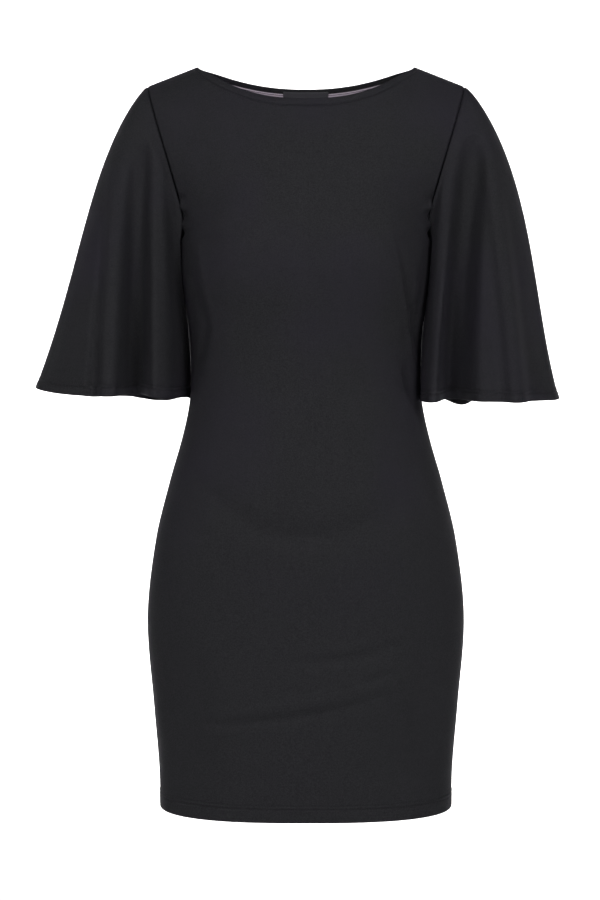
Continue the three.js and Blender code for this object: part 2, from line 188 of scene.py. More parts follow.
# %% [markdown]
# ## The body of the dress
#
# The body is knitted jersey with no darts: its shape comes from the side seams and from stretch.
# Each height has a half width, a depth in front of and behind the side seams, and a squareness.
# Above the underarm the section flattens between the armholes and rounds over to the shoulder
# seams. A grid of such sections is better here than a sculpted mesh, because its columns run
# straight up the cloth and so carry the knit, the seams and the hem with them.

# %% Sizes of the body
HEM_Z, WAIST_Z, UNDERARM_Z = -883.0, -365.0, -213.0
NECK_HALF, SHOULDER_HALF, SHOULDER_DROP = 133.0, 187.0, 21.0
SHOULDER_SLOPE = SHOULDER_DROP / (SHOULDER_HALF - NECK_HALF)
NECK_DROP = {"front": 45.0, "back": 27.0}
NECK_CURVE = {"front": 2.45, "back": 2.15}
TOWARD = {"front": -1, "back": 1}

BODY_SECTIONS = table(
    "z half front back power",
    (HEM_Z, 176.5, 103, 106, 2.6),
    (-835, 178, 104, 109, 2.5),
    (-760, 184, 104, 114, 2.4),
    (-655, 191, 99, 118, 2.3),
    (-560, 180.5, 101, 108, 2.25),
    (-490, 163.5, 96, 95, 2.2),
    (-440, 149, 90, 85, 2.2),
    (-400, 140, 87, 79, 2.2),
    (WAIST_Z, 137, 86, 76, 2.2),
    (-310, 139, 92, 79, 2.2),
    (-265, 145.5, 101, 86, 2.2),
    (-235, 149.3, 105.5, 90.8, 2.2),
    (UNDERARM_Z, 150, 106, 92, 2.2),
)
ARMHOLE = table(
    "z half front back",
    (UNDERARM_Z, 150, 0, 0),
    (-207, 147.5, 17, 15),
    (-192, 145, 30, 27),
    (-170, 145, 42, 38),
    (-125, 156.5, 57, 51),
    (-61, 175.5, 61, 55),
    (-SHOULDER_DROP, SHOULDER_HALF, 61, 55),
)
CHEST_DEPTH = {"front": 104.0, "back": 103.0}
CHEST_ROUND, ARMHOLE_ROUND = 1.7, 2.3
CHEST_DEEP_BY, CHEST_FLAT_BY, CHEST_FLATNESS = 0.5, 0.4, 2.4
EDGE_PULL = 3
BUST_OUT, BUST_Z, BUST_REACH, BUST_FULLNESS = 78.0, -214.0, 52.0, 11.0
BUST_FADES = (0.3, 0.9)


# %% Section, shoulder line and bust
def section(z, across):
    """A section as fractions of its half width and depth; across is -1 to 1 between side seams."""
    power = read(BODY_SECTIONS, "power", z)
    turn = across * np.pi / 2
    sine, cosine = np.sin(turn), np.cos(turn)
    size = (np.abs(sine) ** power + np.abs(cosine) ** power) ** (-1 / power)
    return sine * size, cosine * size


def shoulder_line(x):
    return -(np.abs(x) - NECK_HALF) * SHOULDER_SLOPE


def bust(x, z):
    far = (np.abs(x) - BUST_OUT) ** 2 + (z - BUST_Z) ** 2
    return BUST_FULLNESS * np.exp(-far / (2 * BUST_REACH**2))


# %% Surface of the body
def lower_body(face, across, rise):
    z = mix(HEM_Z, UNDERARM_Z, rise)
    wide, deep = section(z, across)
    x = read(BODY_SECTIONS, "half", z) * wide
    depth = read(BODY_SECTIONS, face, z) * deep
    if face == "front":
        depth = depth + bust(x, z) * np.maximum(0, deep)
    return x, depth, z


def upper_body(face, across, rise):
    wide, deep = section(UNDERARM_Z, across)
    side = np.abs(wide)
    edge_rise = (1 - np.cos(np.pi * rise)) / 2
    edge_z = mix(UNDERARM_Z, -SHOULDER_DROP, edge_rise)
    x = wide * read(ARMHOLE, "half", edge_z)
    top_x = wide * SHOULDER_HALF
    neckline = -NECK_DROP[face] * (1 - np.abs(top_x / NECK_HALF) ** NECK_CURVE[face])
    top_z = np.where(np.abs(top_x) < NECK_HALF, neckline, shoulder_line(top_x))
    z = mix(UNDERARM_Z, top_z, mix(rise, edge_rise, side**EDGE_PULL))

    underarm_depth = read(BODY_SECTIONS, face, UNDERARM_Z)
    centre = mix(underarm_depth, CHEST_DEPTH[face], smooth(0, CHEST_DEEP_BY, rise))
    spread = mix(deep, 1 - side**CHEST_FLATNESS, smooth(0, CHEST_FLAT_BY, rise))
    roundness = mix(CHEST_ROUND, ARMHOLE_ROUND, side)
    up_to = np.clip((z - UNDERARM_Z) / (shoulder_line(top_x) - UNDERARM_Z), 0, 1)
    over = (1 - up_to**roundness) ** (1 / roundness)
    depth = over * mix(read(ARMHOLE, face, edge_z), centre, spread)
    if face == "front":
        depth = depth + bust(x, z) * np.maximum(0, deep) * (1 - smooth(*BUST_FADES, rise))
    return x, depth, z


def body_surface(face, across, rise, seam_gap):
    """Points in mm. rise is 0 at the hem, 1 at the underarm, and 2 at the neck and shoulders."""
    across, rise = np.broadcast_arrays(np.asarray(across, float), np.asarray(rise, float))
    lower = lower_body(face, across, np.minimum(rise, 1))
    upper = upper_body(face, across, np.clip(rise - 1, 0, 1))
    x, depth, z = (np.where(rise <= 1, low, high) for low, high in zip(lower, upper))
    return np.stack([x, TOWARD[face] * (depth + seam_gap / 2), z], axis=-1)


chest = body_surface("front", 0.0, 1.0, 0.0)
waist = body_surface("front", 1.0, (WAIST_Z - HEM_Z) / (UNDERARM_Z - HEM_Z), 0.0)
print("chest stands forward in mm:", round(-float(chest[1])), " half waist:", round(float(waist[0])))

# %% [markdown]
# ## From a grid to a sheet of cloth
#
# Cloth has two faces and a soft edge, so each piece is a closed shell about 1.3 mm thick. It could
# be one surface with a Solidify modifier, but a shell written by hand can also draw in at its seams,
# round off at a cut edge and be doubled where a hem is turned up. Its UV map is the flat cloth in
# metres, so the knit later runs along the grain.

# %% Faces of a shell
# The order of a face's corners that turns it over.
OTHER_WAY = [1, 0, 3, 2]


def grid_normals(points, wrap):
    """Directions square to a grid, from its neighbours. wrap joins the ends of its rows."""
    padded = np.concatenate([points[:, -1:], points, points[:, :1]], axis=1)
    if not wrap:
        padded[:, 0], padded[:, -1] = points[:, 0], points[:, -1]
    along = padded[:, 2:] - padded[:, :-2]
    tall = np.concatenate([points[:1], points, points[-1:]], axis=0)
    return unit(np.cross(along, tall[2:] - tall[:-2]))


def quads(rows, columns):
    """The four corners of every face of a grid, as rows and columns."""
    j, i = (a.ravel() for a in np.mgrid[0:rows, 0:columns])
    return np.stack([j, j, j + 1, j + 1], 1), np.stack([i, i + 1, i + 1, i], 1)


def shell_corners(rows, columns, wrap):
    """The corners of every face of a shell, as (layer, row, column)."""
    top, end = rows - 1, columns - 1
    row, column = quads(top, columns if wrap else end)
    faces = [(0, row, column), (1, row, column[:, OTHER_WAY])]
    layer, column = quads(1, columns if wrap else end)
    faces += [(layer, 0, column[:, OTHER_WAY]), (layer, top, column)]
    if not wrap:
        layer, row = quads(1, top)
        faces += [(layer, row, 0), (layer, row[:, OTHER_WAY], end)]
    return np.concatenate([np.stack(np.broadcast_arrays(*face), -1) for face in faces])


# %% Shells
CLOTH = 1.3
EDGE_MIN = 0.12


def cloth_mesh(name, points, vertex, uv):
    """A closed mesh from points in mm, and the vertex and flat place of each face's corners."""
    points = points * MM
    a, b, c, d = (points[vertex[:, k]] for k in range(4))
    volume = (a * np.cross(b, c) + a * np.cross(c, d)).sum()
    order = slice(None) if volume > 0 else slice(None, None, -1)
    mesh = bpy.data.meshes.new(name)
    mesh.from_pydata(points.tolist(), [], vertex[:, order].tolist())
    mesh.uv_layers.new(name="cloth").data.foreach_set("uv", uv[:, order].ravel().astype(np.float32))
    mesh.shade_smooth()
    return in_scene(name, mesh)


def shell_mesh(name, outer, inner, uv, wrap=False):
    """A shell between two grids of points. uv has one column more where rows join."""
    rows, columns = outer.shape[:2]
    layer, row, column = np.moveaxis(shell_corners(rows, columns, wrap), -1, 0)
    vertex = layer * rows * columns + row * columns + column % columns
    points = np.concatenate([outer.reshape(-1, 3), inner.reshape(-1, 3)])
    return cloth_mesh(name, points, vertex, uv[row, column])


def rounded(distance, thick):
    """Thickness near a cut edge, which rounds off over half of it."""
    reach = np.clip(distance / (thick / 2), 0, 1)
    return thick * np.maximum(EDGE_MIN, np.sqrt(1 - (1 - reach) ** 2))


# %% [markdown]
# ## Creases of the body
#
# Stretch jersey lies smooth, and its few creases are shallow: narrow ones where the armholes pull,
# a few drag lines across the thighs, and broad hollows under the belly and at the sides. Each is a
# row in a table: where its line starts and ends seen from the front, how far the line bows, how wide
# it is and how high it stands (a trough is below zero). They are listed one by one rather than
# simulated, as a simulation would put them elsewhere. The back has a like set of its own, at the
# small of the back and below the seat, where such a dress gathers.

# %% Creases
CREASE_COLUMNS = "x z to_x to_z bow width height"
CREASE_FADE = 0.3
FRONT_CREASES = [
    (102, -205, 127, -352, 2.5, 3.5, 2.2),
    (111, -225, 133, -340, 2.0, 5.5, -2.6),
    (127, -242, 130, -286, 0.0, 2.6, 1.2),
    (140, -225, 121, -312, 3.0, 5.5, -2.6),
    (117, -346, 136, -405, -3.0, 5.5, -2.6),
    (-138, -222, -120, -292, -3.0, 5.5, -2.4),
    (-124, -212, -110, -290, -2.0, 4.0, 1.4),
    (-117, -290, -128, -350, 2.0, 5.0, -2.2),
    (-95, -768, 84, -736, -4.0, 5.5, -3.0),
    (-84, -752, 78, -724, -4.0, 7.0, 2.0),
    (-6, -694, 100, -679, -2.0, 5.5, -2.2),
    (4, -682, 92, -668, -2.0, 7.0, 1.4),
    (64, -719, 102, -707, 0.0, 4.5, -1.6),
    (-100, -512, 104, -512, -34.0, 18.0, -5.5),
    (-146, -690, -138, -850, 0.0, 30.0, -8.0),
    (144, -680, 134, -840, 0.0, 30.0, -7.0),
    (-96, -822, -40, -800, 0.0, 15.0, 1.0),
]
BACK_CREASES = [
    (-78, -398, 62, -386, -10.0, 8.0, -1.8),
    (-70, -384, 58, -372, -9.0, 7.0, 1.1),
    (-44, -428, 84, -414, -8.0, 7.0, -1.3),
    (-124, -330, -70, -392, 6.0, 6.0, -1.4),
    (122, -322, 76, -384, -6.0, 6.0, -1.3),
    (-104, -744, 76, -760, -11.0, 7.0, -1.4),
    (-96, -728, 70, -744, -10.0, 8.0, 0.9),
    (20, -784, 112, -770, -3.0, 6.0, -0.9),
    (-132, -205, -84, -150, 5.0, 6.0, -1.2),
    (128, -210, 88, -158, -5.0, 6.0, -1.1),
]
PUCKER_PITCH, PUCKER_REACH, PUCKER_HEIGHT = 21.0, 11.0, 3.0
PUCKER_LOW, PUCKER_HIGH = -245.0, -160.0


# %% Height of the creases
def crease_height(creases, x, z):
    total = np.zeros_like(x)
    for row in creases:
        crease = dict(zip(CREASE_COLUMNS.split(), row))
        run_x, run_z = crease["to_x"] - crease["x"], crease["to_z"] - crease["z"]
        length = math.hypot(run_x, run_z)
        from_x, from_z = x - crease["x"], z - crease["z"]
        part = (from_x * run_x + from_z * run_z) / length**2
        beside = (from_z * run_x - from_x * run_z) / length
        line = crease["bow"] * 4 * part * (1 - part)
        fade = smooth(-CREASE_FADE, CREASE_FADE, part) * smooth(1 + CREASE_FADE, 1 - CREASE_FADE, part)
        total += crease["height"] * fade * bell(beside - line, crease["width"])
    return total


def puckers(z, seam_distance):
    """Little scallops where the armhole seam pulls the body in under the arm."""
    above = smooth(PUCKER_LOW, PUCKER_LOW + PUCKER_PITCH, z)
    lift = above * smooth(PUCKER_HIGH + PUCKER_PITCH, PUCKER_HIGH, z)
    wave = np.sin(2 * np.pi * z / PUCKER_PITCH)
    return PUCKER_HEIGHT * wave * lift * bell(seam_distance, PUCKER_REACH)


print("creases laid:", len(FRONT_CREASES), "in front and", len(BACK_CREASES), "behind")

# %% [markdown]
# ## The front and the back
#
# The two large pieces meet at the sides and shoulders. A sewn seam pulls both edges inwards, so
# within a few millimetres of one the surface dips into a fine groove. The hem is turned up inside
# and held by a twin needle: below its stitches the cloth is double, so it stands a little proud
# outside and is thicker inside, and each row of stitches sits in its own small groove. The rows of
# the grid are packed close where these happen and are wide apart elsewhere.

# %% Relief of seams and hems
SEAM_DIP, SEAM_REACH, NECK_DIP = 1.1, 1.5, 2.2
HEM_PROUD, HEM_DOUBLE, HEM_SLOPE, FOLD_SLOPE = 0.6, 0.9, 2.0, 1.5
GROOVE_DEPTH, GROOVE_WIDTH = 0.9, 1.1


def seam_dip(distance):
    return -SEAM_DIP * bell(distance, SEAM_REACH)


def hem_relief(distance, stitch_lines):
    """How the outside stands near a turned-up hem with its two rows of stitches."""
    proud = HEM_PROUD * (1 - smooth(stitch_lines[1], stitch_lines[1] + HEM_SLOPE, distance))
    return proud - GROOVE_DEPTH * sum(bell(distance - line, GROOVE_WIDTH) for line in stitch_lines)


def cloth_layers(points, normals, lift, to_hem, hem_depth):
    """Outer and inner points: raised by lift, doubled up to the hem's depth, round at its edge."""
    full = CLOTH + HEM_DOUBLE * (1 - smooth(hem_depth, hem_depth + FOLD_SLOPE, to_hem))
    thick = rounded(to_hem, full)
    outer = points + normals * (lift - (full - thick) / 2)[..., None]
    return outer, outer - normals * thick[..., None]


# %% Grid of a large piece
VISIBLE_SEAM_GAP = 0.05
HEM_LINES, HEM_DEPTH = (16.0, 20.5), 25.0
EDGE_STEPS = np.array([0.0, 0.15, 0.4, 0.7, 1.2, 2.0, 3.0])
GIRTH_STEP, EDGE_COLUMNS = 1 / 205, 4
TIP_CROWD, NECK_COLUMNS, SHOULDER_COLUMNS = 1.3, 36, 36
CLOSE_FROM, CLOSE_OVER, CLOSE_STEP, OPEN_FROM = 4.0, 4.0, 0.75, 6.0
LOWER_ROWS, UPPER_ROWS, TOP_RISES = 168, 72, (1.993, 1.997, 1.999, 2.0)
# Over these distances from a side seam the creases and the puckers come up.
CREASES_START, PUCKERS_START = (3, 16), (0, 2)


def neck_column():
    """Where on a section the column lies that ends at the neck end of the shoulder."""
    power = read(BODY_SECTIONS, "power", UNDERARM_Z)
    wide = NECK_HALF / SHOULDER_HALF
    return 2 / np.pi * math.atan2(wide, (1 - wide**power) ** (1 / power))


def half_columns():
    """Columns from the middle to the side seam: close at the neck's tip and at the seam."""
    neck = neck_column()
    inside = neck * np.sin(np.linspace(0, TIP_CROWD, NECK_COLUMNS)) / math.sin(TIP_CROWD)
    shoulder = np.linspace(neck, 1 - EDGE_COLUMNS * GIRTH_STEP, SHOULDER_COLUMNS)[1:]
    edge = 1 - EDGE_STEPS[::-1] * GIRTH_STEP
    return np.concatenate([inside, shoulder, edge])


def body_rises():
    """Rows up the body: close at the hem and its stitches, and at the top."""
    length = UNDERARM_Z - HEM_Z
    close = np.arange(CLOSE_FROM, HEM_LINES[1] + CLOSE_OVER, CLOSE_STEP)
    free = np.linspace(HEM_LINES[1] + OPEN_FROM, length, LOWER_ROWS)
    lower = np.concatenate([EDGE_STEPS, close, free]) / length
    return np.concatenate([lower, 1 + np.linspace(0, 1, UPPER_ROWS)[1:-1], TOP_RISES])


def panel_grid(face):
    """Points, outward normals, and distances from the hem, the seams and the top edge."""
    half = half_columns()
    across = np.concatenate([-half[:0:-1], half])
    rises = body_rises()
    points = body_surface(face, across[None, :], rises[:, None], VISIBLE_SEAM_GAP)
    normals = -TOWARD[face] * grid_normals(points, wrap=False)
    for end, sign in ((0, -1), (-1, 1)):
        normals[rises <= 1, end] = (sign, 0, 0)
    on_shoulder = np.abs(across) >= neck_column()
    slopes = np.sign(across[on_shoulder]) * SHOULDER_SLOPE
    normals[-1, on_shoulder] = unit(np.stack([slopes, 0 * slopes, 0 * slopes + 1], -1))
    walked = travelled(points, axis=1)
    climbed = travelled(points, axis=0)
    return dict(across=across, points=points, normals=normals, walked=walked, climbed=climbed,
                to_side=np.minimum(walked, walked[:, -1:] - walked), to_top=climbed[-1:] - climbed)


# %% Cloth of a large piece
def relief(face, grid):
    """How far the outside of a large piece is raised, in mm, from creases, seams and hem."""
    x, z, to_side = grid["points"][..., 0], grid["points"][..., 2], grid["to_side"]
    creases = FRONT_CREASES if face == "front" else BACK_CREASES
    height = crease_height(creases, x, z) * smooth(*CREASES_START, to_side)
    height += puckers(z, to_side) * smooth(*PUCKERS_START, to_side)
    height += seam_dip(to_side) + hem_relief(grid["climbed"], HEM_LINES)
    top_dip = np.where(np.abs(grid["across"]) >= neck_column(), 1, NECK_DIP)
    return height + top_dip[None, :] * seam_dip(grid["to_top"])


def large_piece(name, face):
    grid = panel_grid(face)
    lift = relief(face, grid)
    outer, inner = cloth_layers(grid["points"], grid["normals"], lift, grid["climbed"], HEM_DEPTH)
    middle = grid["walked"][:, len(grid["across"]) // 2][:, None]
    uv = np.stack([grid["walked"] - middle, grid["climbed"]], -1) * MM
    return shell_mesh(name, outer, inner, uv), dict(grid, outer=outer)


front_cloth, front_grid = large_piece("front_cloth", "front")
back_cloth, back_grid = large_piece("back_cloth", "back")
for piece in (front_cloth, back_cloth):
    print(piece.name, len(piece.data.polygons), "faces")

# %% [markdown]
# ## The sleeves
#
# Each sleeve is cut like part of a circle, so its short edge fits the armhole and its long edge
# falls in folds. Its columns run from the armhole seam down to an oval hem, over a cap that stands
# out a little. A fold is a row in a table: where its line meets the hem and where it fades near the
# top, how wide it is and how far it stands forward. Heavy jersey falls in flat-topped folds with
# steep sides, so a fold is no plain sine wave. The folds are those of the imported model, on a grid
# fine enough to keep their edges crisp.

# %% Sizes of the sleeves
FOLD_COLUMNS = "hem top top_z width depth"
SLEEVES = {
    "right": dict(
        side=-1,
        hem=dict(inner=135, outer=323, front=84, back=80, lap=4, tuck=20),
        low=dict(inner=-392, front=-382, outer=-377, back=-394),
        dip=dict(out=172, reach=20, down=7),
        cap=dict(out=18, at=0.25, forward=15),
        front=[
            (141, 160, -120, 11, -22),
            (168, 172, -60, 18, 24),
            (200, 193, -90, 15, -34),
            (229, 222, -98, 14, 12),
            (246, 232, -150, 7, -8),
            (292, 268, -150, 26, -8),
        ],
        back=[
            (166, 172, -90, 15, 17),
            (196, 190, -110, 14, -25),
            (230, 214, -90, 15, 10),
            (265, 236, -140, 14, -17),
        ],
    ),
    "left": dict(
        side=1,
        hem=dict(inner=135, outer=303, front=84, back=80, lap=16, tuck=20),
        low=dict(inner=-394, front=-389, outer=-390, back=-398),
        dip=dict(out=190, reach=14, down=5),
        cap=dict(out=26, at=0.3, forward=15),
        front=[
            (130, 158, -70, 8, -24),
            (148, 168, -100, 13, 16),
            (175, 197, -80, 18, -48),
            (246, 206, -70, 13, 14),
            (273, 242, -130, 18, -12),
        ],
        back=[
            (162, 170, -90, 14, 15),
            (188, 188, -100, 14, -24),
            (220, 208, -90, 16, 10),
            (255, 234, -140, 14, -15),
        ],
    ),
}
SEAM_CROWD, HEM_SPREAD, TUCK_FADE = 2.2, 1.6, 3
CAP_ALONG = (0.35, 0.95)
CAP_UNDERSIDE, CAP_SWELL, CAP_RISE = 0.16, 0.3, 0.75
FOLD_LEAN, FOLD_NARROW, FOLD_START, FOLD_EDGE = 1.4, 0.75, 0.09, 0.45
FOLD_FADE, FOLD_FLATNESS = 0.7, 3.2
BODY_GAP, BODY_BLEND, BODY_ABOVE, BODY_START = 0.9, 3.0, 60.0, 0.04
EASE_Z, EASE_REACH, EASE_BY = -200.0, 22.0, 3.4
ARMHOLE_GAP = 0.12


# %% Seam, cap and folds of a sleeve
def armhole_seam(side, turn):
    """Points of the armhole seam: turn is 0 at the underarm, 1 at the shoulder, 2 at the underarm."""
    front = body_surface("front", float(side), 1 + np.minimum(turn, 1), VISIBLE_SEAM_GAP)
    back = body_surface("back", float(side), 1 + np.minimum(2 - turn, 1), VISIBLE_SEAM_GAP)
    return np.where((turn <= 1)[..., None], front, back)


def cap_hump(down, peak):
    fall = CAP_RISE * (1 - peak) / peak
    return (down / peak) ** CAP_RISE * ((1 - down) / (1 - peak)) ** fall


def fold_depth(folds, out, z, hem_z):
    total = np.zeros_like(out)
    for row in folds:
        fold = dict(zip(FOLD_COLUMNS.split(), row))
        up = np.clip((z - hem_z) / (fold["top_z"] - hem_z), 0, 1)
        line = mix(fold["hem"], fold["top"], up**FOLD_LEAN)
        width = fold["width"] * mix(1, FOLD_NARROW, up)
        flat_topped = np.exp(-(np.abs((out - line) / width) ** FOLD_FLATNESS))
        total += fold["depth"] * (1 - up) ** FOLD_FADE * flat_topped
    return total


def body_half(y, z):
    """Half width of the body at a height and a distance in front of or behind the side seams."""
    height = np.minimum(z, UNDERARM_Z)
    depth = np.where(y < 0, read(BODY_SECTIONS, "front", height), read(BODY_SECTIONS, "back", height))
    power = read(BODY_SECTIONS, "power", height)
    part = np.clip(np.abs(y) / depth, 0, 1)
    return read(BODY_SECTIONS, "half", height) * (1 - part**power) ** (1 / power)


def body_push(out, y, z, down):
    """How far the sleeve is moved out so that it stays clear of the body."""
    ease = EASE_BY * bell(z - EASE_Z, EASE_REACH)
    short = body_half(y, z) + BODY_GAP + ease - out
    near = (1 - smooth(UNDERARM_Z, UNDERARM_Z + BODY_ABOVE, z)) * smooth(0, BODY_START, down)
    soft = (short + BODY_BLEND) ** 2 / (4 * BODY_BLEND)
    return near * np.where(short <= -BODY_BLEND, 0, np.where(short >= BODY_BLEND, short, soft))


# %% Surface of a sleeve
def sleeve_surface(sleeve, around, down):
    """Points in mm. around is 0 at the underarm, 1 at the top and 2 at the underarm again."""
    around, down = np.broadcast_arrays(np.asarray(around, float), np.asarray(down, float))
    hem, low, cap = sleeve["hem"], sleeve["low"], sleeve["cap"]
    is_front = around <= 1
    toward = np.where(is_front, -1, 1)
    half = np.where(is_front, around, 2 - around)
    seam_turn = 1 - (1 - half) ** SEAM_CROWD
    hem_turn = np.pi * half**HEM_SPREAD
    seam = armhole_seam(sleeve["side"], np.where(is_front, seam_turn, 2 - seam_turn))
    sine, outward = np.sin(hem_turn), (1 - np.cos(hem_turn)) / 2

    lap = np.where(is_front, hem["lap"] * np.maximum(0, np.sin(2 * hem_turn)), 0)
    hem_out = mix(hem["inner"], hem["outer"], outward) - lap
    tucked = hem["tuck"] * (1 - outward) ** TUCK_FADE
    hem_y = toward * np.where(is_front, hem["front"], hem["back"]) * sine + tucked
    face_z = np.where(is_front, low["front"], low["back"])
    dip = sleeve["dip"]
    dropped = np.where(is_front, 0, dip["down"] * bell(hem_out - dip["out"], dip["reach"]))
    hem_z = mix(mix(low["inner"], low["outer"], outward), face_z, sine**2) - dropped

    peak = mix(CAP_UNDERSIDE, cap["at"], outward)
    hump = cap["out"] * smooth(*CAP_ALONG, seam_turn) * cap_hump(down, peak)
    out = mix(np.abs(seam[..., 0]) + ARMHOLE_GAP, hem_out, down) + hump
    z = mix(seam[..., 2], hem_z, down)
    swell = cap["forward"] * sine * cap_hump(down, CAP_SWELL)
    facing = np.minimum(1, sine / FOLD_EDGE) * smooth(0, FOLD_START, down)
    folded = [fold_depth(sleeve[face], out, z, hem_z) for face in ("front", "back")]
    y = mix(seam[..., 1], hem_y, down) + toward * (swell + facing * np.where(is_front, *folded))
    return np.stack([sleeve["side"] * (out + body_push(out, y, z, down)), y, z], axis=-1)


# %% Cloth of a sleeve
SLEEVE_AROUND, SLEEVE_ROWS, SLEEVE_HEM_ROWS = 224, 78, 24
SLEEVE_SEAM_TO, SLEEVE_HEM_FROM, SLEEVE_HEM_CROWD = 0.012, 0.945, 1.3
SLEEVE_HEM_LINES, SLEEVE_HEM_DEPTH = (10.0, 14.0), 16.0


def sleeve_downs():
    """Rows down a sleeve: close at the armhole seam and at the hem and its stitches."""
    first = SLEEVE_SEAM_TO * EDGE_STEPS[:4]
    middle = np.linspace(SLEEVE_SEAM_TO, SLEEVE_HEM_FROM, SLEEVE_ROWS)
    left = np.linspace(1, 0, SLEEVE_HEM_ROWS)[1:] ** SLEEVE_HEM_CROWD
    return np.concatenate([first, middle, 1 - (1 - SLEEVE_HEM_FROM) * left])


def sleeve_piece(name, sleeve):
    around = np.linspace(0, 2, SLEEVE_AROUND, endpoint=False)
    points = sleeve_surface(sleeve, around[None, :], sleeve_downs()[:, None])
    normals = sleeve["side"] * -grid_normals(points, wrap=True)
    fallen = travelled(points, axis=0)
    to_hem = fallen[-1:] - fallen
    lift = hem_relief(to_hem, SLEEVE_HEM_LINES) + seam_dip(fallen)
    outer, inner = cloth_layers(points, normals, lift, to_hem, SLEEVE_HEM_DEPTH)
    girth = travelled(np.concatenate([points, points[:, :1]], axis=1), axis=1)
    length = np.concatenate([fallen, fallen[:, :1]], axis=1)
    uv = np.stack([girth - girth[:, -1:] / 2, length], -1) * MM
    piece = shell_mesh(name, outer, inner, uv, wrap=True)
    return piece, dict(outer=outer, normals=normals, to_hem=to_hem, girth=girth)


sleeve_cloths, sleeve_grids = {}, {}
for side, sleeve in SLEEVES.items():
    sleeve_cloths[side], sleeve_grids[side] = sleeve_piece(f"sleeve_cloth_{side}", sleeve)
    girths = sleeve_grids[side]["girth"][[0, -1], -1]
    print(side, "sleeve: seam", round(girths[0]), "mm, hem", round(girths[1]), "mm round")

# %% [markdown]
# ## The neck binding
#
# A narrow strip of the same jersey is folded over the raw neck edge and sewn through, so it starts
# a little below the edge on both sides of the cloth and stands up above it. It could be a curve
# with a bevel, but then its flat side would turn over on the way round. Here each section of the
# strip is set square to the cloth that it is sewn to, a little thinner towards its fold, and the
# sections are joined into a closed ring. At the shoulders, where front and back meet at a sharp
# angle, the strip's directions are evened out over a few sections, as the cloth does there.

# %% Binding
PANEL_MIDDLE = 1.4
BINDING_SEAM, BINDING_WIDTH, BINDING_THICK = -1.6, 9.3, 3.0
BINDING_TAPER, BINDING_SQUARENESS = 0.75, 0.8
TIP_REACH, TIP_LOWER, TIP_TURN = 14.0, 0.3, 5
BINDING_SIDES = 18
ROUNDING = 1e-9


def ring_mesh(name, points, uv):
    """A closed ring. points are sections by places round the section; uv has one more each way."""
    sections, places = points.shape[:2]
    row, column = quads(sections, places)
    vertex = (row % sections) * places + column % places
    return cloth_mesh(name, points.reshape(-1, 3), vertex, uv[row, column])


def neck_seam(what):
    """Points or normals round the neck: the front from right to left, then the back."""
    on_neck = np.flatnonzero(np.abs(front_grid["across"]) <= neck_column() + ROUNDING)
    return np.concatenate([front_grid[what][-1, on_neck], back_grid[what][-1, on_neck[-2:0:-1]]])


def binding_piece(name):
    seam, normals = neck_seam("points"), neck_seam("normals")
    along = np.roll(seam, -1, axis=0) - np.roll(seam, 1, axis=0)
    up = unit(np.cross(normals, along))
    up = unit(sum(np.roll(up, step, axis=0) for step in range(-TIP_TURN, TIP_TURN + 1)))
    out = unit(np.cross(along, up))
    wide = BINDING_WIDTH * (1 - TIP_LOWER * bell(np.abs(seam[:, :1]) - NECK_HALF, TIP_REACH))
    turn = np.linspace(0, 2 * np.pi, BINDING_SIDES, endpoint=False)
    rise = np.sign(np.cos(turn)) * np.abs(np.cos(turn)) ** BINDING_SQUARENESS
    to_fold = (1 - rise) / 2
    reach = BINDING_SEAM + wide * to_fold
    thick = BINDING_THICK / 2 * mix(1, BINDING_TAPER, to_fold) * np.sin(turn)
    start = seam - normals * PANEL_MIDDLE
    points = start[:, None] + up[:, None] * reach[..., None] + out[:, None] * thick[None, :, None]
    closed = np.concatenate([points, points[:1]])
    closed = np.concatenate([closed, closed[:, :1]], axis=1)
    length = travelled(closed, axis=0)
    uv = np.stack([length, travelled(closed, axis=1)], -1) * MM
    return ring_mesh(name, points, uv), length[-1, 0]


binding_cloth, neck_length = binding_piece("binding_cloth")
print("binding:", round(float(neck_length)), "mm round the neck")

# %% [markdown]
# ## The tape and the label inside the back neck
#
# A pale tape covers the seam inside the back neck and the lower edge of the binding, and a dark
# woven label lies on it at the centre, left bare here. Both follow the inside of the back: their
# points are taken from its surface, at a distance out from the centre and down from the neck seam,
# and lifted off it.

# %% Tape and label
TAPE_HALF, TAPE_TOP, TAPE_HEIGHT, TAPE_THICK, TAPE_LIFT = 114.0, -1.2, 10.0, 0.8, 1.1
LABEL_HALF, LABEL_TOP, LABEL_HEIGHT, LABEL_THICK, LABEL_LIFT = 27.5, -4.5, 17.0, 0.7, 2.05
STRIP_STEP, STRIP_IN, STRIP_ROWS = 2.0, 1.0, 6
STRIP_EDGE = np.array([0, 0.12, 0.3, 0.6])
INSIDE_FALL, INSIDE_ROWS, INSIDE_NEXT = 0.2, 60, 3


def inside_back(out, down, lift):
    """Points inside the back. out and down are lists of distances in mm, lift may be a grid."""
    power = read(BODY_SECTIONS, "power", UNDERARM_Z)
    wide = out / SHOULDER_HALF
    across = 2 / np.pi * np.arctan2(wide, (1 - np.abs(wide) ** power) ** (1 / power))
    rises = 2 - INSIDE_FALL * np.linspace(0, 1, INSIDE_ROWS)
    surface = body_surface("back", across[None, :], rises[:, None], VISIBLE_SEAM_GAP)
    normals = grid_normals(surface, wrap=False)
    normals *= np.sign(normals[..., 1:2])
    inner = surface - normals * CLOTH
    fallen = travelled(inner, axis=0)
    above = np.minimum(0, down)[:, None, None] * unit(inner[INSIDE_NEXT] - inner[0])
    return at_distance(down, fallen, inner) + above - at_distance(down, fallen, normals) * lift


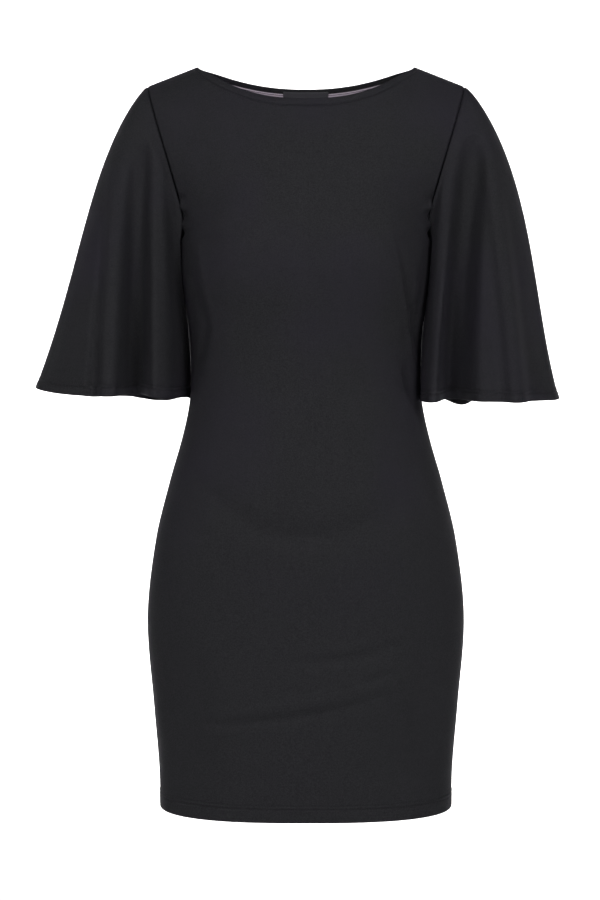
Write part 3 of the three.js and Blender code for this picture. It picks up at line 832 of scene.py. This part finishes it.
def strip_piece(name, half, top, height, thick, lift):
    out = np.linspace(-half, half, int(2 * half / STRIP_STEP))
    middle = np.linspace(STRIP_IN, height - STRIP_IN, STRIP_ROWS)
    down = top + np.concatenate([STRIP_EDGE, middle, height - STRIP_EDGE[::-1]])
    to_edge = np.minimum(down - top, top + height - down)
    full = rounded(to_edge, thick)[:, None, None] * np.ones((1, len(out), 1))
    inside = inside_back(out, down, lift + (thick + full) / 2)
    outside = inside_back(out, down, lift + (thick - full) / 2)
    uv = np.stack(np.broadcast_arrays(out[None, :], down[:, None]), -1) * MM
    return shell_mesh(name, inside, outside, uv)


tape_cloth = strip_piece("tape_cloth", TAPE_HALF, TAPE_TOP, TAPE_HEIGHT, TAPE_THICK, TAPE_LIFT)
label_cloth = strip_piece("label_cloth", LABEL_HALF, LABEL_TOP, LABEL_HEIGHT, LABEL_THICK, LABEL_LIFT)
print("tape and label:", len(tape_cloth.data.polygons), len(label_cloth.data.polygons), "faces")

# %% [markdown]
# ## Nodes by one small function
#
# Shader trees and geometry trees are built the same way: a node is added with its settings, its
# plain values and its links, all in one call that reads like a sentence. What every material needs
# comes next: noise with grains of a size in mm, a colour between two, and a bump from a height.


# %% Add a node
def add(tree, kind, values=None, links=None, **settings):
    """Add a node with settings, plain socket values, and links from other nodes' outputs."""
    node = tree.nodes.new(kind)
    for name, setting in settings.items():
        setattr(node, name, setting)
    for socket, value in (values or {}).items():
        node.inputs[socket].default_value = value
    for socket, source in (links or {}).items():
        tree.links.new(source, node.inputs[socket])
    return node


def colour(code):
    """An sRGB hex colour as linear values with full alpha."""
    parts = [int(code[i : i + 2], 16) / 255 for i in (1, 3, 5)]
    return [p / 12.92 if p <= 0.04045 else ((p + 0.055) / 1.055) ** 2.4 for p in parts] + [1.0]


# %% Parts of a material
def new_material(name):
    material = bpy.data.materials.new(name)
    material.use_nodes = True
    material.node_tree.nodes.clear()
    return material, material.node_tree


def surface_shader(tree, values, links=None):
    shader = add(tree, "ShaderNodeBsdfPrincipled", values, links)
    add(tree, "ShaderNodeOutputMaterial", links={"Surface": shader.outputs["BSDF"]})


def arithmetic(tree, operation, first, second=None):
    """A Math node; each input is a number or another node's output."""
    node = add(tree, "ShaderNodeMath", operation=operation)
    for socket, source in zip(node.inputs, (first, second)):
        if isinstance(source, (int, float)):
            socket.default_value = source
        elif source is not None:
            tree.links.new(source, socket)
    return node.outputs[0]


def weighed(tree, first, first_share, second, second_share):
    """Two outputs added, each at its share."""
    return arithmetic(tree, "ADD", arithmetic(tree, "MULTIPLY", first, first_share),
                      arithmetic(tree, "MULTIPLY", second, second_share))


def noise(tree, grain, detail, **values):
    """Noise in the object's own space, with grains of a size in mm."""
    place = add(tree, "ShaderNodeTexCoord").outputs["Object"]
    settings = {"Scale": 1 / (grain * MM), "Detail": detail, **values}
    return add(tree, "ShaderNodeTexNoise", settings, {"Vector": place}).outputs["Fac"]


def span(tree, value, low, high, top=1.0):
    """A value stretched so that low becomes 0 and high becomes top, and held between them."""
    values = {"From Min": low, "From Max": high, "To Max": top}
    return add(tree, "ShaderNodeMapRange", values, {"Value": value}).outputs["Result"]


def shade(tree, deep, light, part):
    """A colour between two hex colours."""
    colours = {6: colour(deep), 7: colour(light)}
    return add(tree, "ShaderNodeMix", colours, {0: part}, data_type="RGBA").outputs[2]


def bump(tree, height, strength, distance):
    values = {"Strength": strength, "Distance": distance * MM}
    return add(tree, "ShaderNodeBump", values, {"Height": height}).outputs["Normal"]


def cloth_axes(tree):
    """Places across and along the flat cloth, in metres."""
    uv = add(tree, "ShaderNodeUVMap", uv_map="cloth")
    split = add(tree, "ShaderNodeSeparateXYZ", links={"Vector": uv.outputs["UV"]})
    return split.outputs["X"], split.outputs["Y"]


# %% [markdown]
# ## Materials: the jersey
#
# The dress is a dense, smooth knit of near-black polyester, with a matt face. Its loops are about
# 0.7 mm apart, too fine to show in a whole view, so they are drawn twice as coarse. A knit shows
# upright rows of little V shapes: two sine waves in the cloth's own UV map make them, one across
# the rows and one along them that is bent by the first. A fine noise makes the yarn uneven, and a
# broad slow one paints a faint violet reflection into the colour over the upper part. Surface fibres
# give such a knit a trace of light at the edges of its form, which the sheen of the shader stands for.

# %% Jersey
LOOP_WIDE, LOOP_TALL, LOOP_SWING = 1.4, 1.15, 0.35
YARN_GRAIN, YARN_DETAIL, YARN_ROUGH, YARN_RANGE = 1.613, 3.0, 0.6, (0.32, 0.68)
# The broad slow noise below paints a faint violet reflection over the upper part of the dress.
VIOLET_REFLECTION_GRAIN, VIOLET_REFLECTION_DETAIL, VIOLET_REFLECTION_RANGE = 142.9, 2.0, (0.42, 0.68)
KNIT_SHARE, YARN_SHARE, VIOLET_SHARE = 0.3, 0.7, 0.6
JERSEY_BUMP = {"strength": 0.35, "distance": 0.25}
VIOLET_FROM, VIOLET_FULL_FROM = -0.66, -0.48
# The third colour is a painted violet reflection; the deep and light ones are the yarn's own.
JERSEY_DEEP, JERSEY_LIGHT, JERSEY_VIOLET_REFLECTION = "#0e0e10", "#222224", "#1c1a21"
JERSEY_SHEEN = "#c4b6dc"


def knit_height(tree):
    """The height of a knitted face, from about 0 to 1."""
    across, along = cloth_axes(tree)
    across = arithmetic(tree, "MULTIPLY", across, math.pi / (LOOP_WIDE * MM))
    row = arithmetic(tree, "ABSOLUTE", arithmetic(tree, "SINE", across))
    along = arithmetic(tree, "MULTIPLY", along, 2 * math.pi / (LOOP_TALL * MM))
    bent = arithmetic(tree, "ADD", along, arithmetic(tree, "MULTIPLY", row, math.pi))
    loops = arithmetic(tree, "MULTIPLY", arithmetic(tree, "SINE", bent), LOOP_SWING)
    return arithmetic(tree, "ADD", row, loops)


def jersey_material():
    material, tree = new_material("knitted polyester jersey, near black")
    uneven = span(tree, noise(tree, YARN_GRAIN, YARN_DETAIL, Roughness=YARN_ROUGH), *YARN_RANGE)
    grain = weighed(tree, knit_height(tree), KNIT_SHARE, uneven, YARN_SHARE)
    # Painted violet reflection: a slow noise, faded in over the upper part only, mixes violet into the
    # yarn's colour.
    drift = span(tree, noise(tree, VIOLET_REFLECTION_GRAIN, VIOLET_REFLECTION_DETAIL), *VIOLET_REFLECTION_RANGE, VIOLET_SHARE)
    place = add(tree, "ShaderNodeTexCoord").outputs["Object"]
    height = add(tree, "ShaderNodeSeparateXYZ", links={"Vector": place}).outputs["Z"]
    upper = span(tree, height, VIOLET_FROM, VIOLET_FULL_FROM)
    knit_and_reflection_colour = add(tree, "ShaderNodeMix", {7: colour(JERSEY_VIOLET_REFLECTION)},
               {0: arithmetic(tree, "MULTIPLY", drift, upper),
                6: shade(tree, JERSEY_DEEP, JERSEY_LIGHT, grain)}, data_type="RGBA")
    surface_shader(
        tree,
        {"Roughness": 0.75, "Specular IOR Level": 0.06, "Sheen Weight": 0.018,
         "Sheen Roughness": 0.4, "Sheen Tint": colour(JERSEY_SHEEN)},
        {"Base Color": knit_and_reflection_colour.outputs[2], "Normal": bump(tree, grain, **JERSEY_BUMP)},
    )
    return material


jersey = jersey_material()
print(jersey.name, len(jersey.node_tree.nodes), "nodes")

# %% [markdown]
# ## Materials: tape, label and thread
#
# The tape is a cotton twill, whose slanting ribs are a sine wave laid at an angle across it. The
# label is woven satin: fine warp threads along its length and a soft gloss. The stitches are spun
# polyester thread. On the dress it is darker than the cloth and as matt, so a row of stitches shows
# as a fine dark line, and on the tape it is lilac.

# %% Tape, label and thread
TWILL_RIB, SATIN_RIB = 1.1, 0.8
FIBRE_GRAIN, THREAD_GRAIN, FIBRE_DETAIL = 1.111, 0.4, 2.0
RIB_SHARE, FIBRE_SHARE = 0.6, 0.4
RIB_BUMP, THREAD_BUMP = {"strength": 0.4, "distance": 0.2}, {"strength": 0.3, "distance": 0.05}
TWILL_SLANT, SATIN_SLANT = 1.0, 0.0


def ribbed_material(name, deep, light, slant, rib, values):
    material, tree = new_material(name)
    across, along = cloth_axes(tree)
    ribs = arithmetic(tree, "ADD", along, arithmetic(tree, "MULTIPLY", across, slant))
    wave = arithmetic(tree, "SINE", arithmetic(tree, "MULTIPLY", ribs, 2 * math.pi / (rib * MM)))
    fibre = noise(tree, FIBRE_GRAIN, FIBRE_DETAIL)
    grain = weighed(tree, span(tree, wave, -1.0, 1.0), RIB_SHARE, fibre, FIBRE_SHARE)
    surface_shader(tree, values, {"Base Color": shade(tree, deep, light, grain),
                                  "Normal": bump(tree, grain, **RIB_BUMP)})
    return material


twill = ribbed_material("cotton twill tape, lilac grey", "#80757f", "#a297a3", TWILL_SLANT, TWILL_RIB,
                        {"Roughness": 0.85, "Specular IOR Level": 0.2, "Sheen Weight": 0.1})
satin = ribbed_material("woven satin label, charcoal", "#262529", "#323136", SATIN_SLANT, SATIN_RIB,
                        {"Roughness": 0.5, "Specular IOR Level": 0.3, "Sheen Weight": 0.1})


def thread_material(name, deep, light):
    material, tree = new_material(name)
    fibre = noise(tree, THREAD_GRAIN, FIBRE_DETAIL)
    surface_shader(tree, {"Roughness": 0.75, "Specular IOR Level": 0.1},
                   {"Base Color": shade(tree, deep, light, fibre),
                    "Normal": bump(tree, fibre, **THREAD_BUMP)})
    return material


black_thread = thread_material("spun polyester thread, black", "#09090a", "#121214")
lilac_thread = thread_material("spun polyester thread, lilac", "#8d8290", "#b9aebc")
for material in (twill, satin, black_thread, lilac_thread):
    print(material.name)

# %% [markdown]
# ## Stitches with Geometry Nodes
#
# A row of stitches repeats one small shape along a line, which is what Geometry Nodes are for. The
# line is a mesh of edges on the cloth that carries the outward direction at each point. The tree
# turns it into a curve, spaces points along it by the stitch pitch, and sets a small flattened
# bead on each, its long axis along the line and its short one square to the cloth. The seed gives
# every stitch a slightly different size, as a machine does on stretch cloth.

# %% The stitch tree
STITCH_LEAST, STITCH_MOST = 0.86, 1.12


def stitch_tree():
    tree = bpy.data.node_groups.new("row of stitches", "GeometryNodeTree")
    face = tree.interface
    face.new_socket("Line", in_out="INPUT", socket_type="NodeSocketGeometry")
    for name in ("Pitch", "Long", "Wide", "High"):
        face.new_socket(name, in_out="INPUT", socket_type="NodeSocketFloat")
    face.new_socket("Seed", in_out="INPUT", socket_type="NodeSocketInt")
    face.new_socket("Thread", in_out="INPUT", socket_type="NodeSocketMaterial")
    face.new_socket("Stitches", in_out="OUTPUT", socket_type="NodeSocketGeometry")

    given = add(tree, "NodeGroupInput").outputs
    curve = add(tree, "GeometryNodeMeshToCurve", links={"Mesh": given["Line"]})
    spaced = add(tree, "GeometryNodeResampleCurve", mode="LENGTH",
                 links={"Curve": curve.outputs[0], "Length": given["Pitch"]})
    outward = add(tree, "GeometryNodeInputNamedAttribute", {"Name": "outward"}, data_type="FLOAT_VECTOR")
    tangent = add(tree, "GeometryNodeInputTangent")
    turned = add(tree, "FunctionNodeAxesToRotation", primary_axis="Z", secondary_axis="X",
                 links={"Primary Axis": outward.outputs[0], "Secondary Axis": tangent.outputs[0]})
    size = add(tree, "ShaderNodeCombineXYZ",
               links={"X": given["Long"], "Y": given["Wide"], "Z": given["High"]})
    bead = add(tree, "GeometryNodeMeshUVSphere", {"Segments": 6, "Rings": 4, "Radius": 0.5})
    uneven = add(tree, "FunctionNodeRandomValue", {2: STITCH_LEAST, 3: STITCH_MOST},
                 {"Seed": given["Seed"]}, data_type="FLOAT")
    scaled = add(tree, "ShaderNodeVectorMath", links={0: size.outputs[0], 1: uneven.outputs[1]},
                 operation="MULTIPLY")
    placed = add(tree, "GeometryNodeInstanceOnPoints",
                 links={"Points": spaced.outputs[0], "Instance": bead.outputs["Mesh"],
                        "Rotation": turned.outputs[0], "Scale": scaled.outputs[0]})
    real = add(tree, "GeometryNodeRealizeInstances", links={0: placed.outputs[0]})
    soft = add(tree, "GeometryNodeSetShadeSmooth", links={0: real.outputs[0]})
    dressed = add(tree, "GeometryNodeSetMaterial",
                  links={0: soft.outputs[0], "Material": given["Thread"]})
    add(tree, "NodeGroupOutput", links={0: dressed.outputs[0]})
    return tree


STITCHES = stitch_tree()


# %% Lines to sew along
STITCH_LIFT = 0.1
HEM_STITCH = {"Pitch": 3.1, "Long": 2.4, "Wide": 0.6, "High": 0.45}
SMALL_STITCH = {"Pitch": 2.3, "Long": 1.7, "Wide": 0.45, "High": 0.45}


def line_on(grid, distances, at):
    """A line along a piece at one distance from its edge, on the cloth, and its outward directions."""
    step = 1 if distances[0, 0] < distances[-1, 0] else -1
    line, outward = (at_distance([at], distances[::step], grid[what][::step])[0]
                     for what in ("outer", "normals"))
    outward = unit(outward)
    return line + outward * STITCH_LIFT, outward


def sew(name, lines, thread, stitch, seed):
    """One mesh of stitches along lines, each given as (points, outward, whether it is closed)."""
    points, outward, edges, count = [], [], [], 0
    for line, square, closed in lines:
        index = np.arange(len(line)) + count
        edges += list(zip(index.tolist(), np.roll(index, -1).tolist()))[: None if closed else -1]
        points.append(line)
        outward.append(square)
        count += len(line)
    mesh = bpy.data.meshes.new(name)
    mesh.from_pydata((np.concatenate(points) * MM).tolist(), edges, [])
    attribute = mesh.attributes.new("outward", "FLOAT_VECTOR", "POINT")
    attribute.data.foreach_set("vector", np.concatenate(outward).ravel().astype(np.float32))
    guide = in_scene(name, mesh)
    given = {size: value * MM for size, value in stitch.items()} | {"Seed": seed, "Thread": thread}
    modifier = guide.modifiers.new("stitches", "NODES")
    modifier.node_group = STITCHES
    for socket in STITCHES.interface.items_tree:
        if socket.in_out == "INPUT" and socket.name in given:
            modifier[socket.identifier] = given[socket.name]
    guide.update_tag()
    sewn = bpy.data.meshes.new_from_object(guide.evaluated_get(bpy.context.evaluated_depsgraph_get()))
    guide.modifiers.clear()
    guide.data = sewn
    sewn.name = name
    bpy.data.meshes.remove(mesh)
    print(name, len(sewn.polygons), "faces")
    return guide


# %% Hem stitches
hem_rows = [
    (*line_on(grid, grid["climbed"], at), False)
    for grid in (front_grid, back_grid)
    for at in HEM_LINES
]
body_stitches = sew("body_hem_stitches", hem_rows, black_thread, HEM_STITCH, seed=3)

sleeve_stitches = {}
for side, grid in sleeve_grids.items():
    rows = [(*line_on(grid, grid["to_hem"], at), True) for at in SLEEVE_HEM_LINES]
    sleeve_stitches[side] = sew(f"sleeve_hem_stitches_{side}", rows, black_thread, HEM_STITCH, seed=5)

# %% Stitches of the tape and the label
TAPE_STITCH_IN, LABEL_STITCH_IN, ROW_END_IN = 1.2, 1.5, 1.0
TAPE_PLACES, LABEL_PLACES = 40, 8


def strip_line(outs, downs, lift):
    points = inside_back(outs, downs, lift)
    return points, unit(inside_back(outs, downs, lift + 1) - points)


def tape_rows():
    for down in (TAPE_TOP + TAPE_STITCH_IN, TAPE_TOP + TAPE_HEIGHT - TAPE_STITCH_IN):
        for side in (-1, 1):
            outs = side * np.linspace(LABEL_HALF + ROW_END_IN, TAPE_HALF - ROW_END_IN, TAPE_PLACES)
            points, square = strip_line(outs, np.array([down]), TAPE_LIFT + TAPE_THICK)
            yield points[0], square[0], False


def label_rows():
    downs = LABEL_TOP + np.linspace(ROW_END_IN, LABEL_HEIGHT - ROW_END_IN, LABEL_PLACES)
    for side in (-1, 1):
        outs = np.array([side * (LABEL_HALF - LABEL_STITCH_IN)])
        points, square = strip_line(outs, downs, LABEL_LIFT + LABEL_THICK)
        yield points[:, 0], square[:, 0], False


tape_stitches = sew("tape_stitches", tape_rows(), lilac_thread, SMALL_STITCH, seed=7)
label_stitches = sew("label_stitches", label_rows(), black_thread, SMALL_STITCH, seed=9)

# %% [markdown]
# ## Dress the pieces
#
# Each piece gets its material and takes the place of its node. How large each sheet of cloth was
# cut is measured here from the finished surface and printed: its outer face laid flat, row by row,
# which for a body without darts is close to the maker's pattern.

# %% Materials and nodes
dressed = [
    (front_cloth, "front_panel", "jersey", jersey),
    (back_cloth, "back_panel", "jersey", jersey),
    (sleeve_cloths["right"], "sleeve_right", "jersey", jersey),
    (sleeve_cloths["left"], "sleeve_left", "jersey", jersey),
    (binding_cloth, "neck_binding", "jersey", jersey),
    (tape_cloth, "neck_tape", "tape", twill),
    (label_cloth, "neck_label", "label", satin),
]
for piece, node, slot, material in dressed:
    piece.data.materials.append(material)
    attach(piece, BODY)
    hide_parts(node)
for piece in (body_stitches, *sleeve_stitches.values(), tape_stitches, label_stitches):
    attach(piece, BODY)


# %% Sizes of the cut
def flat_size(points, wrap=False):
    """Greatest width, length and area of a grid laid flat, in metres."""
    closed = np.concatenate([points, points[:, :1]], axis=1) if wrap else points
    widths = travelled(closed, axis=1)[:, -1]
    lengths = travelled(closed, axis=0)[-1]
    sides = np.diff(closed, axis=1)[:-1], np.diff(closed, axis=0)[:, :-1]
    area = np.linalg.norm(np.cross(*sides), axis=-1).sum()
    return widths.max() * MM, lengths.max() * MM, area * MM**2


cut = {}
for name, grid in (("front", front_grid), ("back", back_grid)):
    cut[name] = flat_size(grid["points"])
for side, grid in sleeve_grids.items():
    cut[f"sleeve {side}"] = flat_size(grid["outer"], wrap=True)
for name, (width, length, area) in cut.items():
    print(f"{name}: {width:.3f} x {length:.3f} m, {area:.3f} square metres of cloth")

for piece, name, stitches in ((front_cloth, "front", [body_stitches]), (back_cloth, "back", [])):
    width, length, area = cut[name]
    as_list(stitches)
for side, piece in sleeve_cloths.items():
    width, length, area = cut[f"sleeve {side}"]

# %% [markdown]
# ## Floor, backdrop and light
#
# The dress hangs at the height of a standing wearer's shoulders over a plain pale floor that curves
# up into the wall all round, so every view has the same calm ground. The light is that of a studio:
# two large soft boxes in front, one on either side, and a faint even sky that fills the shadows.
# Two more lamps light only the wall. Their beams are narrow, because light that comes back from a
# bright wall on both sides would turn the edges of dark cloth grey.

# %% Stage
FLOOR_Z, FLOOR_RADIUS, COVE, WALL_TOP = -1.42, 5.0, 2.0, 9.0
FLOOR_RINGS, COVE_RINGS, SPOKES = np.array([0.001, 1.5, 3.5]), 16, 96
PAPER = "#f4f4f4"


def bowl(name):
    """A round floor that curves up into a wall, spun from its profile."""
    bend = np.linspace(0, np.pi / 2, COVE_RINGS)
    radius = np.concatenate([FLOOR_RINGS, FLOOR_RADIUS + COVE * np.sin(bend), [FLOOR_RADIUS + COVE]])
    height = np.concatenate([0 * FLOOR_RINGS, COVE * (1 - np.cos(bend)), [WALL_TOP]]) + FLOOR_Z
    turn = np.linspace(0, 2 * np.pi, SPOKES, endpoint=False)
    spun = radius[:, None] * np.cos(turn), radius[:, None] * np.sin(turn), height[:, None]
    points = np.stack(np.broadcast_arrays(*spun), -1)
    row, column = quads(len(radius) - 1, SPOKES)
    faces = (row * SPOKES + column % SPOKES)[:, ::-1]
    mesh = bpy.data.meshes.new(name)
    mesh.from_pydata(points.reshape(-1, 3).tolist(), [], faces.tolist())
    mesh.shade_smooth()
    return in_scene(name, mesh)


def paper_material():
    material, tree = new_material("matt white background paper")
    surface_shader(tree, {"Base Color": colour(PAPER), "Roughness": 1.0, "Specular IOR Level": 0.0})
    return material


backdrop = bowl("backdrop")
backdrop.data.materials.append(paper_material())
backdrop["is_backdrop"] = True

# %% Lights
DRESS, WALL = (0.0, 0.0, -0.38), (0.0, 5.0, -1.1)
KEY, WASH = {"size": (1.0, 1.4), "spread": 180}, {"size": (1.6, 1.6), "spread": 95}
LAMPS = [
    ("key_left", (-1.9, -3.1, 1.5), DRESS, KEY, 94.0),
    ("key_right", (1.9, -3.1, 1.5), DRESS, KEY, 109.0),
    ("wall_left", (-2.4, 1.6, 1.6), WALL, WASH, 160.0),
    ("wall_right", (2.4, 1.6, 1.6), WALL, WASH, 160.0),
]
SKY, SKY_STRENGTH = "#ffffff", 0.15

for name, place, aim, kind, power in LAMPS:
    lamp_data = bpy.data.lights.new(name, "AREA")
    lamp_data.shape = "RECTANGLE"
    lamp_data.size, lamp_data.size_y = kind["size"]
    lamp_data.energy = power
    lamp_data.spread = math.radians(kind["spread"])
    lamp = in_scene(name, lamp_data)
    lamp.location = place
    toward = [a - b for a, b in zip(aim, place)]
    tilt = math.acos(-toward[2] / math.dist(aim, place))
    lamp.rotation_euler = (tilt, 0, math.atan2(toward[1], toward[0]) - math.pi / 2)
    lamp.visible_camera = False

world = bpy.data.worlds.new("sky")
world.use_nodes = True
sky_inputs = world.node_tree.nodes["Background"].inputs
sky_inputs["Color"].default_value = colour(SKY)
sky_inputs["Strength"].default_value = SKY_STRENGTH
bpy.context.scene.world = world
bpy.context.scene.view_settings.view_transform = "Standard"
bpy.context.scene.view_settings.look = "None"
print("lights:", ", ".join(row[0] for row in LAMPS))

# %% [markdown]
# ## Measure and finish
#
# The box of the finished dress is printed beside the imported model's box, to see whether the cloth
# has stayed within a few millimetres of it.

# %% Finish
new_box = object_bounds()
for label, low, high in (("cad", *cad_box), ("visual", *new_box)):
    print(label, [round(v / MM, 1) for v in low], [round(v / MM, 1) for v in high])
